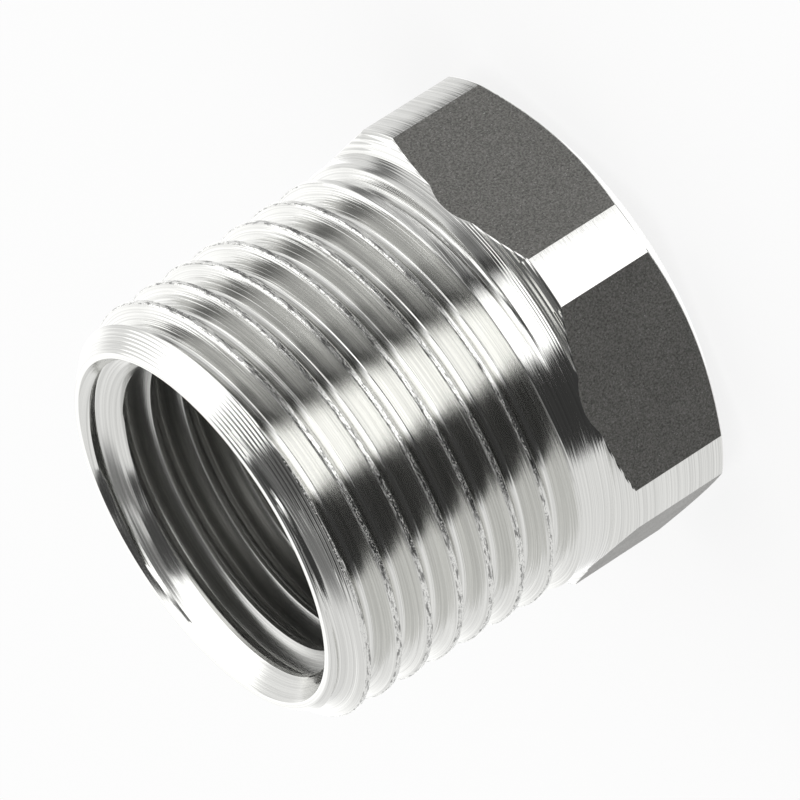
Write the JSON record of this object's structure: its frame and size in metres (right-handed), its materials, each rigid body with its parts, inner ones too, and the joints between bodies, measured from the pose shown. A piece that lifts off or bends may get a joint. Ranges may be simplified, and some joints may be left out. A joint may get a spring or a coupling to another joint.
{
  "type": "hex bushing",
  "caption": "Hexagon reducing bush with a tapered outside pipe thread, a short chamfered hexagon head and a threaded through bore.",
  "frame": {"origin": "centre of the hexagon's end face, on the common axis of both threads", "axes": "+Z along the axis, from the hexagon towards the end of the outside thread; +X through one corner of the hexagon"},
  "size_m": [0.0186, 0.017, 0.017],
  "materials": {
    "turned_stainless": "turned, with sawn matte flats"
  },
  "bodies": {
    "root": {"hex_bushing": "turned_stainless"}
  },
  "joints": []
}
